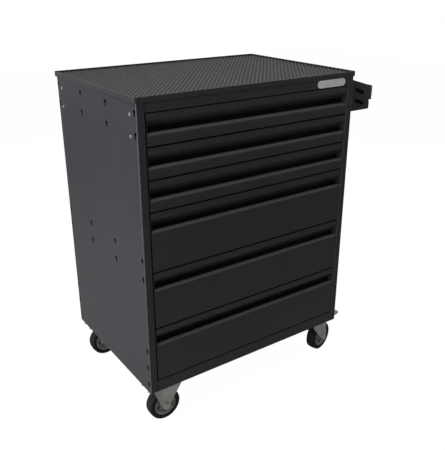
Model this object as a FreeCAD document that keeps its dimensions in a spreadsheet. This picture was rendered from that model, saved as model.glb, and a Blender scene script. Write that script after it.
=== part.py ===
"""Roller tool cabinet with six drawers: a folded steel carcass, ball-bearing slides and four casters."""
import FreeCAD, Part
import math
import os
import re
import Sketcher

# Driving dimensions in millimetres. The carcass corner is its front, left, bottom corner.
SIZES = {
    "body_width": 660,
    "body_depth": 460,
    "panel_sheet": 1.2,
    "bend_radius": 3,
    "column_width": 21,
    "column_return": 18,
    "back_flange": 18,
    "bottom_rail_height": 33,
    "top_rail_height": 23,
    "rail_return": 20,
    "back_inset": 4,
    "base_sheet": 1.5,
    "shallow_pitch": 78,
    "deep_pitch": 156,
    "drawer_gap": 2.5,
    "tray_height": 13,
    "tray_sheet": 1.5,
    "tray_side_overhang": 4,
    "tray_front_overhang": 1.5,
    "tray_back_overhang": 4,
    "tray_corner_radius": 4,
    "mat_thickness": 7.5,
    "mat_gap": 0.5,
    "badge_length": 99,
    "badge_height": 20,
    "badge_thickness": 1.2,
    "badge_inset": 33,
    "keyhole_edge": 8,
    "keyhole_step": 50,
    "keyhole_top_drop": 19,
    "keyhole_middle_row": 334,
    "keyhole_bottom_row": 30,
    "keyhole_head": 11,
    "keyhole_neck": 5.6,
    "keyhole_rise": 4,
    "keyhole_drop": 11,
    "fixing_edge": 31,
    "fixing_drop": 28,
    "fixing_step": 50,
    "rivet_nut_flange": 8,
    "rivet_nut_lip": 0.8,
    "rivet_nut_barrel": 6.6,
    "rivet_nut_length": 11,
    "rivet_nut_bore": 4.2,
    "hole_clearance": 0.4,
    "handle_reach": 115,
    "handle_sheet": 2.5,
    "handle_edge": 20,
    "handle_flange": 22,
    "handle_height": 93,
    "handle_outer_height": 66,
    "handle_foot": 102,
    "handle_bend": 25,
    "grip_bottom": 25.5,
    "grip_height": 36,
    "relief_width": 4,
    "handle_slot_start": 37,
    "handle_slot_run": 26.5,
    "handle_slot_width": 11,
    "handle_slot_tilt": 21.5,
    "handle_slot_low": 28.3,
    "handle_slot_high": 58.1,
    "plug_recess": 0.8,
    "plug_flange": 1.2,
    "handle_screw_diameter": 5,
    "handle_screw_head": 9.5,
    "handle_screw_head_height": 2.8,
    "handle_screw_length": 14,
    "handle_nut_width": 8,
    "handle_nut_height": 4,
    "upright_depth": 20,
    "upright_width": 30,
    "upright_sheet": 1.5,
    "upright_inset": 20,
    "slide_start": 26,
    "slide_back_room": 34,
    "slide_thickness": 12.7,
    "slide_height": 45,
    "slide_sheet": 1.5,
    "slide_play": 0.4,
    "slide_lift": 30,
    "drawer_sheet": 1,
    "drawer_back_room": 24,
    "drawer_lift": 8,
    "drawer_headroom": 15,
    "hem_width": 3,
    "hem_height": 8,
    "front_depth": 26,
    "front_sheet": 1.2,
    "pull_strip": 16,
    "pull_reach": 24,
    "lip_drop": 45,
    "gutter_depth": 13,
    "lip_depth": 10,
    "lip_radius": 8,
    "edge_radius": 1.8,
    "caster_edge": 40,
    "fixed_side": 55,
    "swivel_side": 52,
    "caster_yaw": 13,
    "plate_length": 104,
    "plate_width": 68,
    "plate_thickness": 4,
    "plate_corner_radius": 6,
    "bolt_pitch_long": 92,
    "bolt_pitch_wide": 36,
    "bolt_diameter": 8,
    "bolt_head_width": 13,
    "bolt_head_height": 5.3,
    "wheel_diameter": 92,
    "wheel_width": 30,
    "wheel_headroom": 28,
    "tyre_depth": 14,
    "hub_rim": 5,
    "hub_boss_radius": 13,
    "hub_web_width": 10,
    "tread_shoulder": 6,
    "axle_diameter": 12,
    "axle_nut_width": 18,
    "axle_nut_height": 6,
    "running_gap": 0.3,
    "fit_gap": 0.05,
    "fork_gap": 2,
    "fork_sheet": 3,
    "fork_web_half": 15,
    "fork_top_half": 43,
    "fork_flare": 13,
    "fork_foot_half": 13,
    "fork_toe": 14,
    "race_radius": 26,
    "race_height": 6,
    "crown_gap": 0.5,
    "crown_front": 22,
    "crown_back": 46,
    "king_pin_diameter": 12,
    "caster_trail": 30,
    "pedal_pivot": 14,
    "pedal_drop": 10,
    "pedal_barrel": 10,
    "pedal_pin": 6,
    "pedal_thickness": 4,
    "pedal_arm_width": 26,
    "pedal_pad_start": 66,
    "pedal_reach": 118,
    "pedal_pad_width": 40,
    "pedal_corner": 5.6,
}

SHALLOW_DRAWERS = 3
DEEP_DRAWERS = 3

# Places and sizes that follow from the driving dimensions
BODY_HEIGHT = (f"(bottom_rail_height + {SHALLOW_DRAWERS} * shallow_pitch"
               f" + {DEEP_DRAWERS} * deep_pitch + top_rail_height)")
PEDAL_BACK = ("((pedal_reach - pedal_corner) * sin(caster_yaw) + pedal_corner"
              " + (pedal_pad_width / 2 - pedal_corner) * cos(caster_yaw))")
LEFT = "((tray_side_overhang - body_width - handle_reach) / 2)"
FRONT = f"((tray_front_overhang - body_depth + caster_edge - {PEDAL_BACK}) / 2)"
BASE = "(wheel_diameter + wheel_headroom)"
KEYHOLE_SPAN = "(body_depth - 2 * keyhole_edge)"
RAIL_LENGTH = "(body_width - 2 * column_width)"
FRONT_LENGTH = "(body_width - 2 * column_width - 2 * drawer_gap)"
SLIDE_LENGTH = "(body_depth - slide_start - slide_back_room)"
DRAWER_DEPTH = "(body_depth - front_depth - drawer_back_room)"
PULL_FLOOR = "(lip_drop + gutter_depth)"
SLIDE_START_X = "(panel_sheet + upright_depth)"
DRAWER_SIDE = f"({SLIDE_START_X} + slide_thickness)"
AXLE_DROP = "(wheel_diameter / 2 + wheel_headroom)"
HUB_RADIUS = "(wheel_diameter / 2 - tyre_depth)"
FORK_HALF_GAP = "(wheel_width / 2 + fork_gap)"
FORK_HALF = f"({FORK_HALF_GAP} + fork_sheet)"
FORK_BOTTOM = f"({AXLE_DROP} + fork_toe)"
CROWN_TOP = "(plate_thickness + race_height + crown_gap)"
PEDAL_PIN = ("pedal_pivot", f"-{CROWN_TOP} - pedal_drop")
FIRST_BOLT = ("fixed_side - bolt_pitch_long / 2", "caster_edge - bolt_pitch_wide / 2")

doc = FreeCAD.newDocument("tool_cabinet")
sheet = doc.addObject("Spreadsheet::Sheet", "sizes")
for row, (alias, size) in enumerate(SIZES.items(), 1):
    sheet.set(f"A{row}", alias)
    sheet.set(f"B{row}", str(size))
    sheet.setAlias(f"B{row}", alias)
doc.recompute()

ALIAS_PATTERN = re.compile(r"\b(" + "|".join(SIZES) + r")\b")
PARTS = []


# Helpers that bind pieces to the sheet

def bound(text):
    """Expression text with every size named through the sheet."""
    return ALIAS_PATTERN.sub(r"sizes.\1", str(text))


def value(text):
    """Present value of an expression in sheet sizes."""
    return float(sheet.evalExpression(bound(text)))


def place(piece, x, y, z, yaw=None):
    """Put a piece's own origin at a point, turned about the vertical."""
    if yaw is not None:
        piece.Placement = FreeCAD.Placement(FreeCAD.Vector(), FreeCAD.Rotation(FreeCAD.Vector(0, 0, 1), value(yaw)))
        piece.setExpression(".Placement.Rotation.Angle", bound(yaw))
    for axis, where in zip("xyz", (x, y, z)):
        piece.setExpression(f".Placement.Base.{axis}", bound(where))


def new_body(label, x=LEFT, y=FRONT, z=BASE, yaw=None):
    """Body of one node, with its own origin at the carcass corner unless told otherwise."""
    body = doc.addObject("PartDesign::Body", label)
    body.Label = label
    body.AllowCompound = True
    place(body, x, y, z, yaw)
    PARTS.append(body)
    return body


def new_sketch(body, name, role, offset=None):
    """Empty sketch on one of the body's own origin planes."""
    sketch = body.newObject("Sketcher::SketchObject", name)
    plane = next(item for item in body.Origin.OriginFeatures if item.Role == role)
    sketch.AttachmentSupport = [(plane, "")]
    sketch.MapMode = "FlatFace"
    if offset is not None:
        sketch.setExpression(".AttachmentOffset.Base.z", bound(offset))
    return sketch


def pins(geometry, position, x, y):
    """Constraints that tie one point of a sketch to two expressions measured from the sketch's origin."""
    rules = []
    for kind, text, axis in (("DistanceX", x, -2), ("DistanceY", y, -1)):
        if str(text) == "0":
            rules.append((Sketcher.Constraint("PointOnObject", geometry, position, axis), None))
        else:
            rules.append((Sketcher.Constraint(kind, -1, 1, geometry, position, value(text)), text))
    return rules


def add_rules(sketch, rules):
    """Add constraints together, then bind those that have an expression."""
    first = sketch.ConstraintCount
    sketch.addConstraint([rule for rule, text in rules])
    for index, (rule, text) in enumerate(rules, first):
        if text is not None:
            sketch.setExpression(f"Constraints[{index}]", bound(text))


def add_loops(sketch, loops):
    """Closed loops of straight edges through corners given as pairs of expressions."""
    lines, rules = [], []
    for corners in loops:
        first, count = len(lines), len(corners)
        points = [FreeCAD.Vector(value(x), value(y), 0) for x, y in corners]
        for i, (x, y) in enumerate(corners):
            following = (i + 1) % count
            lines.append(Part.LineSegment(points[i], points[following]))
            rules.append((Sketcher.Constraint("Coincident", first + i, 2, first + following, 1), None))
            rules += pins(first + i, 1, x, y)
    sketch.addGeometry(lines)
    add_rules(sketch, rules)


def add_circles(sketch, circles):
    """Circles given as x, y and diameter."""
    rings, rules = [], []
    for index, (x, y, diameter) in enumerate(circles):
        centre = FreeCAD.Vector(value(x), value(y), 0)
        rings.append(Part.Circle(centre, FreeCAD.Vector(0, 0, 1), value(diameter) / 2))
        rules += pins(index, 3, x, y)
        rules.append((Sketcher.Constraint("Diameter", index, value(diameter)), diameter))
    sketch.addGeometry(rings)
    add_rules(sketch, rules)


def loop_sketch(body, name, role, loops, offset=None):
    """Sketch of one or more closed loops."""
    sketch = new_sketch(body, name, role, offset)
    add_loops(sketch, loops)
    return sketch


def circle_sketch(body, name, role, circles, offset=None):
    """Sketch of circles, each given as x, y and diameter."""
    sketch = new_sketch(body, name, role, offset)
    add_circles(sketch, circles)
    return sketch


def rectangle(x1, y1, x2, y2):
    """Corners of an upright rectangle."""
    return [(x1, y1), (x2, y1), (x2, y2), (x1, y2)]


def hexagon(x, y, width):
    """Corners of a hexagon, by its width across flats."""
    radius = f"({width}) / (2 * cos(30))"
    return [(f"{x} + {radius} * cos({angle})", f"{y} + {radius} * sin({angle})") for angle in range(0, 360, 60)]


def channel(back, tip, wall, low, high):
    """C section with its web along back, its flanges reaching tip; wall is signed towards the tip."""
    depth = wall.lstrip("-")
    inner = f"{back} + ({wall})"
    return [(back, low), (tip, low), (tip, f"{low} + {depth}"), (inner, f"{low} + {depth}"),
            (inner, f"{high} - {depth}"), (tip, f"{high} - {depth}"), (tip, high), (back, high)]


def pad(body, name, sketch, length, reverse=False, middle=False):
    """Material added from a sketch."""
    feature = body.newObject("PartDesign::Pad", name)
    feature.Profile = sketch
    feature.setExpression("Length", bound(length))
    feature.Reversed = reverse
    feature.Midplane = middle
    return feature


def pocket(body, name, sketch, length, reverse=False, middle=False):
    """Material cut from a sketch, with a check that it cut something."""
    doc.recompute()
    before = body.Shape.Volume
    feature = body.newObject("PartDesign::Pocket", name)
    feature.Profile = sketch
    feature.setExpression("Length", bound(length))
    feature.Reversed = reverse
    feature.Midplane = middle
    doc.recompute()
    if body.Shape.Volume > before - 0.01:
        raise RuntimeError(f"{body.Label}: {name} cuts nothing")
    return feature


def revolve(body, name, sketch, axis="H_Axis"):
    """Full turn of a sketch about one of its own axes."""
    feature = body.newObject("PartDesign::Revolution", name)
    feature.Profile = sketch
    feature.ReferenceAxis = (sketch, [axis])
    feature.Angle = 360
    return feature


def edges_along(shape, direction, corners):
    """Names of the straight edges that run along x, y or z through corners of the other two axes."""
    flat = [axis for axis in "xyz" if axis != direction]
    names = []
    for index, edge in enumerate(shape.Edges, 1):
        ends = [vertex.Point for vertex in edge.Vertexes]
        if len(ends) != 2 or abs(getattr(ends[0], direction) - getattr(ends[1], direction)) < 0.01:
            continue
        for corner in corners:
            if all(abs(getattr(end, axis) - goal) < 0.01 for end in ends for axis, goal in zip(flat, corner)):
                names.append(f"Edge{index}")
    return names


def round_corners(body, name, direction, corners, radius):
    """Fillet on the edges that run along one direction through the given corners."""
    doc.recompute()
    base = body.Tip
    goals = [(value(a), value(b)) for a, b in corners]
    names = edges_along(base.Shape, direction, goals)
    if len(names) < len(corners):
        raise RuntimeError(f"{body.Label}: {name} finds {len(names)} of {len(corners)} edges")
    feature = body.newObject("PartDesign::Fillet", name)
    feature.Base = (base, names)
    feature.setExpression("Radius", bound(radius))
    return feature


def repeat(body, name, originals, rows):
    """The originals repeated along rows, each an axis of the body, a length and a count."""
    doc.recompute()
    pattern = body.newObject("PartDesign::MultiTransform", name)
    pattern.Originals = originals
    steps = []
    for index, (role, length, count) in enumerate(rows):
        axis = next(item for item in body.Origin.OriginFeatures if item.Role == role)
        step = body.newObject("PartDesign::LinearPattern", f"{name}_{index}")
        step.Direction = (axis, [""])
        step.setExpression("Length", bound(length))
        step.Occurrences = count
        steps.append(step)
    pattern.Transformations = steps
    body.Tip = pattern
    return pattern


# Carcass

def across(text, side):
    """Distance from the left side, or the same distance from the right side."""
    return text if side > 0 else f"body_width - ({text})"


def side_panel(label, side):
    """Folded side with its front column, back flange, keyholes and handle fixings; side is 1 left, -1 right."""
    body = new_body(label, x=LEFT if side > 0 else f"{LEFT} + body_width")

    def x(text):
        return text if side > 0 else f"-({text})"

    plan = [("0", "0"), (x("column_width"), "0"), (x("column_width"), "column_return"),
            (x("column_width - panel_sheet"), "column_return"), (x("column_width - panel_sheet"), "panel_sheet"),
            (x("panel_sheet"), "panel_sheet"), (x("panel_sheet"), "body_depth - panel_sheet"),
            (x("back_flange"), "body_depth - panel_sheet"), (x("back_flange"), "body_depth"), ("0", "body_depth")]
    fold = loop_sketch(body, "plan", "XY_Plane", [plan], offset="base_sheet")
    pad(body, "folded_sheet", fold, f"{BODY_HEIGHT} - base_sheet")
    round_corners(body, "outer_bends", "z", [plan[0], plan[1], plan[9]], "bend_radius")
    round_corners(body, "inner_bends", "z", [plan[4], plan[5], plan[6]], "bend_radius - panel_sheet")
    high_row = f"{BODY_HEIGHT} - keyhole_top_drop - keyhole_step"
    four_columns, end_columns = (KEYHOLE_SPAN, 4), (KEYHOLE_SPAN, 2)
    keyholes(body, "high_keyholes", high_row, four_columns, ("keyhole_step", 2))
    keyholes(body, "middle_keyholes", "keyhole_middle_row", four_columns, ("keyhole_step", 2))
    keyholes(body, "low_keyholes", "keyhole_bottom_row", end_columns, ("2 * keyhole_step", 3))
    hole = "rivet_nut_barrel" if side > 0 else "handle_screw_diameter"
    fixings = [(y, z, f"{hole} + hole_clearance") for y, z in fixing_centres()]
    cut = circle_sketch(body, "fixings", "YZ_Plane", fixings)
    pocket(body, "handle_fixings", cut, "3 * panel_sheet", middle=True)


def keyholes(body, name, row, columns, rows):
    """Keyholes through one side: a broad head with bevelled corners over a narrower neck."""
    half, neck, bevel = "keyhole_head / 2", "keyhole_neck / 2", "(keyhole_head - keyhole_neck) / 3"
    near = [(neck, "-keyhole_drop"), (neck, f"-{bevel} - 2"), (half, "-2"), (half, f"keyhole_rise - {bevel}"),
            (f"{half} - {bevel}", "keyhole_rise")]
    outline = [(f"keyhole_edge + {y}", f"{row} + {z}") for y, z in near]
    outline += [(f"keyhole_edge - ({y})", f"{row} + {z}") for y, z in near[::-1]]
    cut = pocket(body, name, loop_sketch(body, f"{name}_outline", "YZ_Plane", [outline]),
                 "3 * panel_sheet", middle=True)
    repeat(body, f"{name}_pattern", [cut], [("Y_Axis", *columns), ("Z_Axis", *rows)])


def fixing_centres():
    """Handle fixings, two near the front and two near the back, high on each side."""
    for y in ("fixing_edge", "body_depth - fixing_edge"):
        for step in range(2):
            yield y, f"{BODY_HEIGHT} - fixing_drop - {step} * fixing_step"


def top_front_rail():
    """C-shaped cross rail above the drawers."""
    body = new_body("top_front_rail", x=f"{LEFT} + column_width")
    section = channel("0", "rail_return", "panel_sheet", f"{BODY_HEIGHT} - top_rail_height", BODY_HEIGHT)
    pad(body, "rail", loop_sketch(body, "section", "YZ_Plane", [section]), RAIL_LENGTH)
    round_corners(body, "bends", "x", [section[0], section[7]], "bend_radius / 2")


def bottom_front_rail():
    """Angle-shaped cross rail below the drawers, standing on the base sheet."""
    body = new_body("bottom_front_rail", x=f"{LEFT} + column_width")
    top = "bottom_rail_height"
    section = [("0", "base_sheet"), ("panel_sheet", "base_sheet"), ("panel_sheet", f"{top} - panel_sheet"),
               ("rail_return", f"{top} - panel_sheet"), ("rail_return", top), ("0", top)]
    pad(body, "rail", loop_sketch(body, "section", "YZ_Plane", [section]), RAIL_LENGTH)
    round_corners(body, "bend", "x", [section[5]], "bend_radius / 2")


def back_panel():
    """Flat sheet behind the flanges of the sides."""
    body = new_body("back_panel", y=f"{FRONT} + body_depth - 2 * panel_sheet")
    face = rectangle("back_inset", "base_sheet", "body_width - back_inset", BODY_HEIGHT)
    pad(body, "panel", loop_sketch(body, "face", "XZ_Plane", [face]), "panel_sheet", reverse=True)
    round_corners(body, "corners", "y", face, "bend_radius")


def caster_rows():
    """Pattern rows that carry one caster bolt to all sixteen places."""
    return [("X_Axis", "bolt_pitch_long", 2), ("Y_Axis", "bolt_pitch_wide", 2),
            ("X_Axis", "body_width - fixed_side - swivel_side", 2), ("Y_Axis", "body_depth - 2 * caster_edge", 2)]


def bottom_panel():
    """Base sheet under the whole carcass."""
    body = new_body("bottom_panel")
    blank = rectangle("0", "0", "body_width", "body_depth")
    pad(body, "sheet", loop_sketch(body, "blank", "XY_Plane", [blank]), "base_sheet")
    round_corners(body, "corners", "z", blank, "bend_radius")


def top_tray():
    """Shallow tray that closes the top, its rim standing above the mat."""
    body = new_body("top_tray", z=f"{BASE} + {BODY_HEIGHT}")
    rim = rectangle("-tray_side_overhang", "-tray_front_overhang",
                    "body_width + tray_side_overhang", "body_depth + tray_back_overhang")
    well = rectangle("tray_sheet - tray_side_overhang", "tray_sheet - tray_front_overhang",
                     "body_width + tray_side_overhang - tray_sheet", "body_depth + tray_back_overhang - tray_sheet")
    pad(body, "blank", loop_sketch(body, "rim", "XY_Plane", [rim]), "tray_height")
    round_corners(body, "corners", "z", rim, "tray_corner_radius")
    cut = loop_sketch(body, "well", "XY_Plane", [well], offset="tray_height")
    pocket(body, "inside", cut, "tray_height - tray_sheet")
    round_corners(body, "inner_corners", "z", well, "tray_corner_radius - tray_sheet")


def rubber_mat():
    """Mat that fills the tray."""
    body = new_body("rubber_mat", z=f"{BASE} + {BODY_HEIGHT} + tray_sheet")
    gap = "tray_sheet + mat_gap"
    blank = rectangle(f"{gap} - tray_side_overhang", f"{gap} - tray_front_overhang",
                      f"body_width + tray_side_overhang - ({gap})", f"body_depth + tray_back_overhang - ({gap})")
    pad(body, "mat", loop_sketch(body, "blank", "XY_Plane", [blank]), "mat_thickness")
    round_corners(body, "corners", "z", blank, "tray_corner_radius - tray_sheet")


def badge_plate():
    """Long oval plate at the right end of the top rail."""
    middle = f"{BODY_HEIGHT} - top_rail_height / 2"
    body = new_body("badge_plate", x=f"{LEFT} + body_width - badge_inset - badge_length", z=f"{BASE} + {middle}")
    face = rectangle("0", "-badge_height / 2", "badge_length", "badge_height / 2")
    pad(body, "plate", loop_sketch(body, "face", "XZ_Plane", [face]), "badge_thickness")
    round_corners(body, "ends", "y", face, "badge_height * 0.499")


def rivet_nuts():
    """Threaded inserts that close the handle fixings of the left side."""
    body = new_body("rivet_nuts")
    centres = list(fixing_centres())

    def rings(name, diameter):
        return circle_sketch(body, name, "YZ_Plane", [(y, z, diameter) for y, z in centres])

    pad(body, "lips", rings("lip", "rivet_nut_flange"), "rivet_nut_lip", reverse=True)
    pad(body, "barrels", rings("barrel", "rivet_nut_barrel"), "rivet_nut_length")
    pocket(body, "bores", rings("bore", "rivet_nut_bore"), "3 * rivet_nut_length", middle=True)


def push_handle():
    """Sheet handle on the right side: two slotted arms and the grip that joins them."""
    body = new_body("push_handle", x=f"{LEFT} + body_width", z=f"{BASE} + {BODY_HEIGHT} - handle_foot")
    near, far = "handle_edge", "body_depth - handle_edge"
    plan = [("0", f"{near} + handle_flange"), ("0", near), ("handle_reach", near), ("handle_reach", far),
            ("0", far), ("0", f"{far} - handle_flange"), ("handle_sheet", f"{far} - handle_flange"),
            ("handle_sheet", f"{far} - handle_sheet"), ("handle_reach - handle_sheet", f"{far} - handle_sheet"),
            ("handle_reach - handle_sheet", f"{near} + handle_sheet"), ("handle_sheet", f"{near} + handle_sheet"),
            ("handle_sheet", f"{near} + handle_flange")]
    pad(body, "bent_strip", loop_sketch(body, "plan", "XY_Plane", [plan]), "handle_height")
    round_corners(body, "grip_bends", "z", [plan[2], plan[3]], "handle_bend")
    round_corners(body, "grip_inner_bends", "z", [plan[8], plan[9]], "handle_bend - handle_sheet")
    round_corners(body, "foot_bends", "z", [plan[1], plan[4]], "handle_sheet + 1")
    arm, out = "handle_reach - handle_bend", "handle_reach + 1"
    top, over = "grip_bottom + grip_height", "handle_height + 1"
    above = [("0", "handle_height"), (arm, "handle_outer_height"), (arm, top), (out, top), (out, over), ("0", over)]
    below = rectangle(arm, "-1", out, "grip_bottom")
    cut = loop_sketch(body, "arm_outline", "XZ_Plane", [above, below])
    pocket(body, "arm_shape", cut, "2 * body_depth", middle=True)
    corners = ("grip_bottom - relief_width / 3", f"{top} + relief_width / 3")
    cut = circle_sketch(body, "relief", "XZ_Plane", [(arm, height, "relief_width") for height in corners])
    pocket(body, "reliefs", cut, "2 * body_depth", middle=True)
    slots = handle_slots("0")
    pocket(body, "slots", loop_sketch(body, "slot", "XZ_Plane", slots), "2 * body_depth", middle=True)
    round_corners(body, "slot_ends", "y", slots[0] + slots[1], "handle_slot_width * 0.49")
    round_corners(body, "arm_corners", "y", [(arm, "0")], "relief_width")
    holes = []
    for y, z in fixing_centres():
        holes.append((y, f"{z} - {BODY_HEIGHT} + handle_foot", "handle_screw_diameter + hole_clearance"))
    cut = circle_sketch(body, "fixings", "YZ_Plane", holes)
    pocket(body, "screw_holes", cut, "3 * handle_sheet", middle=True)


def handle_slots(grow):
    """Corners of the two tilted slots in an arm, made larger all round by a margin."""
    half = f"(handle_slot_width / 2 + {grow})"
    slots = []
    for height in ("handle_slot_low", "handle_slot_high"):
        corners = []
        for along, off in ((f"-{half}", "-1"), (f"handle_slot_run + {half}", "-1"),
                           (f"handle_slot_run + {half}", "1"), (f"-{half}", "1")):
            corners.append((f"handle_slot_start + ({along}) * cos(handle_slot_tilt)"
                            f" + {off} * {half} * sin(handle_slot_tilt)",
                            f"{height} - ({along}) * sin(handle_slot_tilt)"
                            f" + {off} * {half} * cos(handle_slot_tilt)"))
        slots.append(corners)
    return slots


def slot_plugs():
    """Plugs that close the handle's slots, each held by a flange on the inside of the arm."""
    body = new_body("handle_slot_plugs", x=f"{LEFT} + body_width", z=f"{BASE} + {BODY_HEIGHT} - handle_foot")
    near, far = "handle_edge", "body_depth - handle_edge"
    fill, rim = handle_slots("-fit_gap"), handle_slots("1.5")
    for name, face, sign, reverse in (("front", near, 1, True), ("back", far, -1, False)):
        start, inside = f"-({face}) - {sign} * plug_recess", f"-({face}) - {sign} * handle_sheet"
        core = loop_sketch(body, f"{name}_slots", "XZ_Plane", fill, offset=start)
        pad(body, f"{name}_cores", core, "handle_sheet + plug_flange - plug_recess", reverse=reverse)
        edge = loop_sketch(body, f"{name}_rims", "XZ_Plane", rim, offset=inside)
        pad(body, f"{name}_flanges", edge, "plug_flange", reverse=reverse)
    round_corners(body, "core_ends", "y", fill[0] + fill[1], "handle_slot_width * 0.48")
    round_corners(body, "flange_ends", "y", rim[0] + rim[1], "handle_slot_width * 0.6")


def fixing_rows():
    """Pattern rows that carry one handle screw to all four places."""
    return [("Y_Axis", "body_depth - 2 * fixing_edge", 2), ("Z_Axis", "fixing_step", 2)]


def handle_screws():
    """Button-head screws that hold the handle."""
    body = new_body("handle_screws", x=f"{LEFT} + body_width")
    y, z = "fixing_edge", f"{BODY_HEIGHT} - fixing_drop - fixing_step"
    head_face = "handle_sheet"
    shank = circle_sketch(body, "shank", "YZ_Plane", [(y, z, "handle_screw_diameter")], offset=head_face)
    stem = pad(body, "stem", shank, "handle_screw_length", reverse=True)
    button = circle_sketch(body, "button", "YZ_Plane", [(y, z, "handle_screw_head")], offset=head_face)
    head = pad(body, "head", button, "handle_screw_head_height")
    recess = loop_sketch(body, "recess", "YZ_Plane", [hexagon(y, z, "handle_screw_diameter * 0.6")],
                         offset="handle_sheet + handle_screw_head_height")
    socket = pocket(body, "socket", recess, "handle_screw_head_height * 0.7")
    repeat(body, "screws", [stem, head, socket], fixing_rows())


def handle_nuts():
    """Hexagon nuts of the handle screws, inside the right side."""
    body = new_body("handle_nuts", x=f"{LEFT} + body_width - panel_sheet")
    y, z = "fixing_edge", f"{BODY_HEIGHT} - fixing_drop - fixing_step"
    blank = loop_sketch(body, "blank", "YZ_Plane", [hexagon(y, z, "handle_nut_width")])
    nut = pad(body, "nut", blank, "handle_nut_height", reverse=True)
    bore = circle_sketch(body, "bore", "YZ_Plane", [(y, z, "handle_screw_diameter + 2 * fit_gap")])
    cut = pocket(body, "thread", bore, "3 * handle_nut_height", middle=True)
    repeat(body, "nuts", [nut, cut], fixing_rows())


def uprights():
    """Four posts inside the carcass that carry the slides."""
    body = new_body("uprights", z=f"{BASE} + base_sheet")
    loops = []
    for side in (1, -1):
        inner = across(SLIDE_START_X, side)
        outer = across("panel_sheet", side)
        wall = "-upright_sheet" if side > 0 else "upright_sheet"
        for low in ("upright_inset", "body_depth - upright_inset - upright_width"):
            loops.append(channel(inner, outer, wall, low, f"{low} + upright_width"))
    pad(body, "posts", loop_sketch(body, "plan", "XY_Plane", loops), f"{BODY_HEIGHT} - base_sheet")


# Slides

def slide_member(label, web, tip, wall, half, centres, opens_in):
    """Pairs of C-shaped slide members, one on each side, at the given heights."""
    body = new_body(label, y=f"{FRONT} + slide_start")
    loops = []
    for centre in centres:
        for side in (1, -1):
            sign = wall if opens_in == (side > 0) else f"-{wall}"
            loops.append(channel(across(web, side), across(tip, side), sign,
                                 f"{centre} - ({half})", f"{centre} + ({half})"))
    pad(body, "members", loop_sketch(body, "section", "XZ_Plane", loops), SLIDE_LENGTH, reverse=True)


def cabinet_rails(centres):
    """Outer slide members, fixed to the uprights."""
    slide_member("cabinet_rails", SLIDE_START_X, f"{SLIDE_START_X} + slide_thickness * 0.7",
                 "slide_sheet", "slide_height / 2", centres, True)


def middle_runners(label, centre):
    """Intermediate slide members, running inside the outer ones."""
    web = f"{SLIDE_START_X} + slide_sheet + 2 * slide_play"
    slide_member(label, web, f"{DRAWER_SIDE} - slide_sheet - slide_play",
                 "slide_sheet", "slide_height / 2 - slide_sheet - slide_play", [centre], True)


def drawer_runners(label, centre):
    """Inner slide members, fixed to the drawer's sides."""
    slide_member(label, DRAWER_SIDE, f"{DRAWER_SIDE} - slide_thickness / 2",
                 "slide_sheet", "slide_height / 2 - 2 * slide_sheet - 2 * slide_play", [centre], False)


# Drawers

def drawer_front(label, pitch, bottom):
    """Folded front: flush strip, slanted recess with its gutter, rounded pull lip and flat panel."""
    body = new_body(label, x=f"{LEFT} + column_width + drawer_gap", z=bottom)
    top = f"{pitch} - drawer_gap"
    reach_z = f"{top} - pull_strip - pull_reach"
    floor_z, lip_z = f"{top} - {PULL_FLOOR}", f"{top} - lip_drop"
    section = [("0", "0"), ("front_depth", "0"), ("front_depth", top), ("0", top), ("0", f"{top} - pull_strip"),
               ("pull_reach", reach_z), ("pull_reach", floor_z), ("lip_depth", floor_z),
               ("lip_depth", lip_z), ("0", lip_z)]
    pad(body, "block", loop_sketch(body, "section", "YZ_Plane", [section]), FRONT_LENGTH)
    round_corners(body, "pull_lip", "x", [section[9]], "lip_radius")
    round_corners(body, "bends", "x", [section[0], section[3], section[4]], "edge_radius")
    doc.recompute()
    base = body.Tip
    depth = value("front_depth")
    back = [f"Face{i}" for i, face in enumerate(base.Shape.Faces, 1) if abs(face.BoundBox.YMin - depth) < 0.01]
    shell = body.newObject("PartDesign::Thickness", "folded_sheet")
    shell.Base = (base, back)
    shell.setExpression("Value", bound("front_sheet"))
    shell.Reversed = True
    cheek = rectangle("front_sheet / 2", floor_z, "pull_reach", f"{top} - pull_strip")
    near = loop_sketch(body, "near_end", "YZ_Plane", [cheek])
    pad(body, "near_cheek", near, "front_sheet")
    far = loop_sketch(body, "far_end", "YZ_Plane", [cheek], offset=FRONT_LENGTH)
    pad(body, "far_cheek", far, "front_sheet", reverse=True)


def drawer_box(label, pitch, bottom):
    """Open drawer with a hemmed edge along its top."""
    body = new_body(label, y=f"{FRONT} + front_depth", z=f"{bottom} + drawer_lift")
    height = f"({pitch} - drawer_lift - drawer_headroom)"
    right, back = f"body_width - {DRAWER_SIDE}", DRAWER_DEPTH
    blank = rectangle(DRAWER_SIDE, "0", right, back)
    mouth = rectangle(f"{DRAWER_SIDE} + hem_width", "hem_width", f"{right} - hem_width", f"{back} - hem_width")
    inside = rectangle(f"{DRAWER_SIDE} + drawer_sheet", "drawer_sheet",
                       f"{right} - drawer_sheet", f"{back} - drawer_sheet")
    pad(body, "blank", loop_sketch(body, "plan", "XY_Plane", [blank]), height)
    opening = loop_sketch(body, "mouth", "XY_Plane", [mouth], offset=height)
    pocket(body, "opening", opening, "hem_height + 1")
    hollow = loop_sketch(body, "inside", "XY_Plane", [inside], offset=f"{height} - hem_height")
    pocket(body, "hollow", hollow, f"{height} - hem_height - drawer_sheet")


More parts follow.
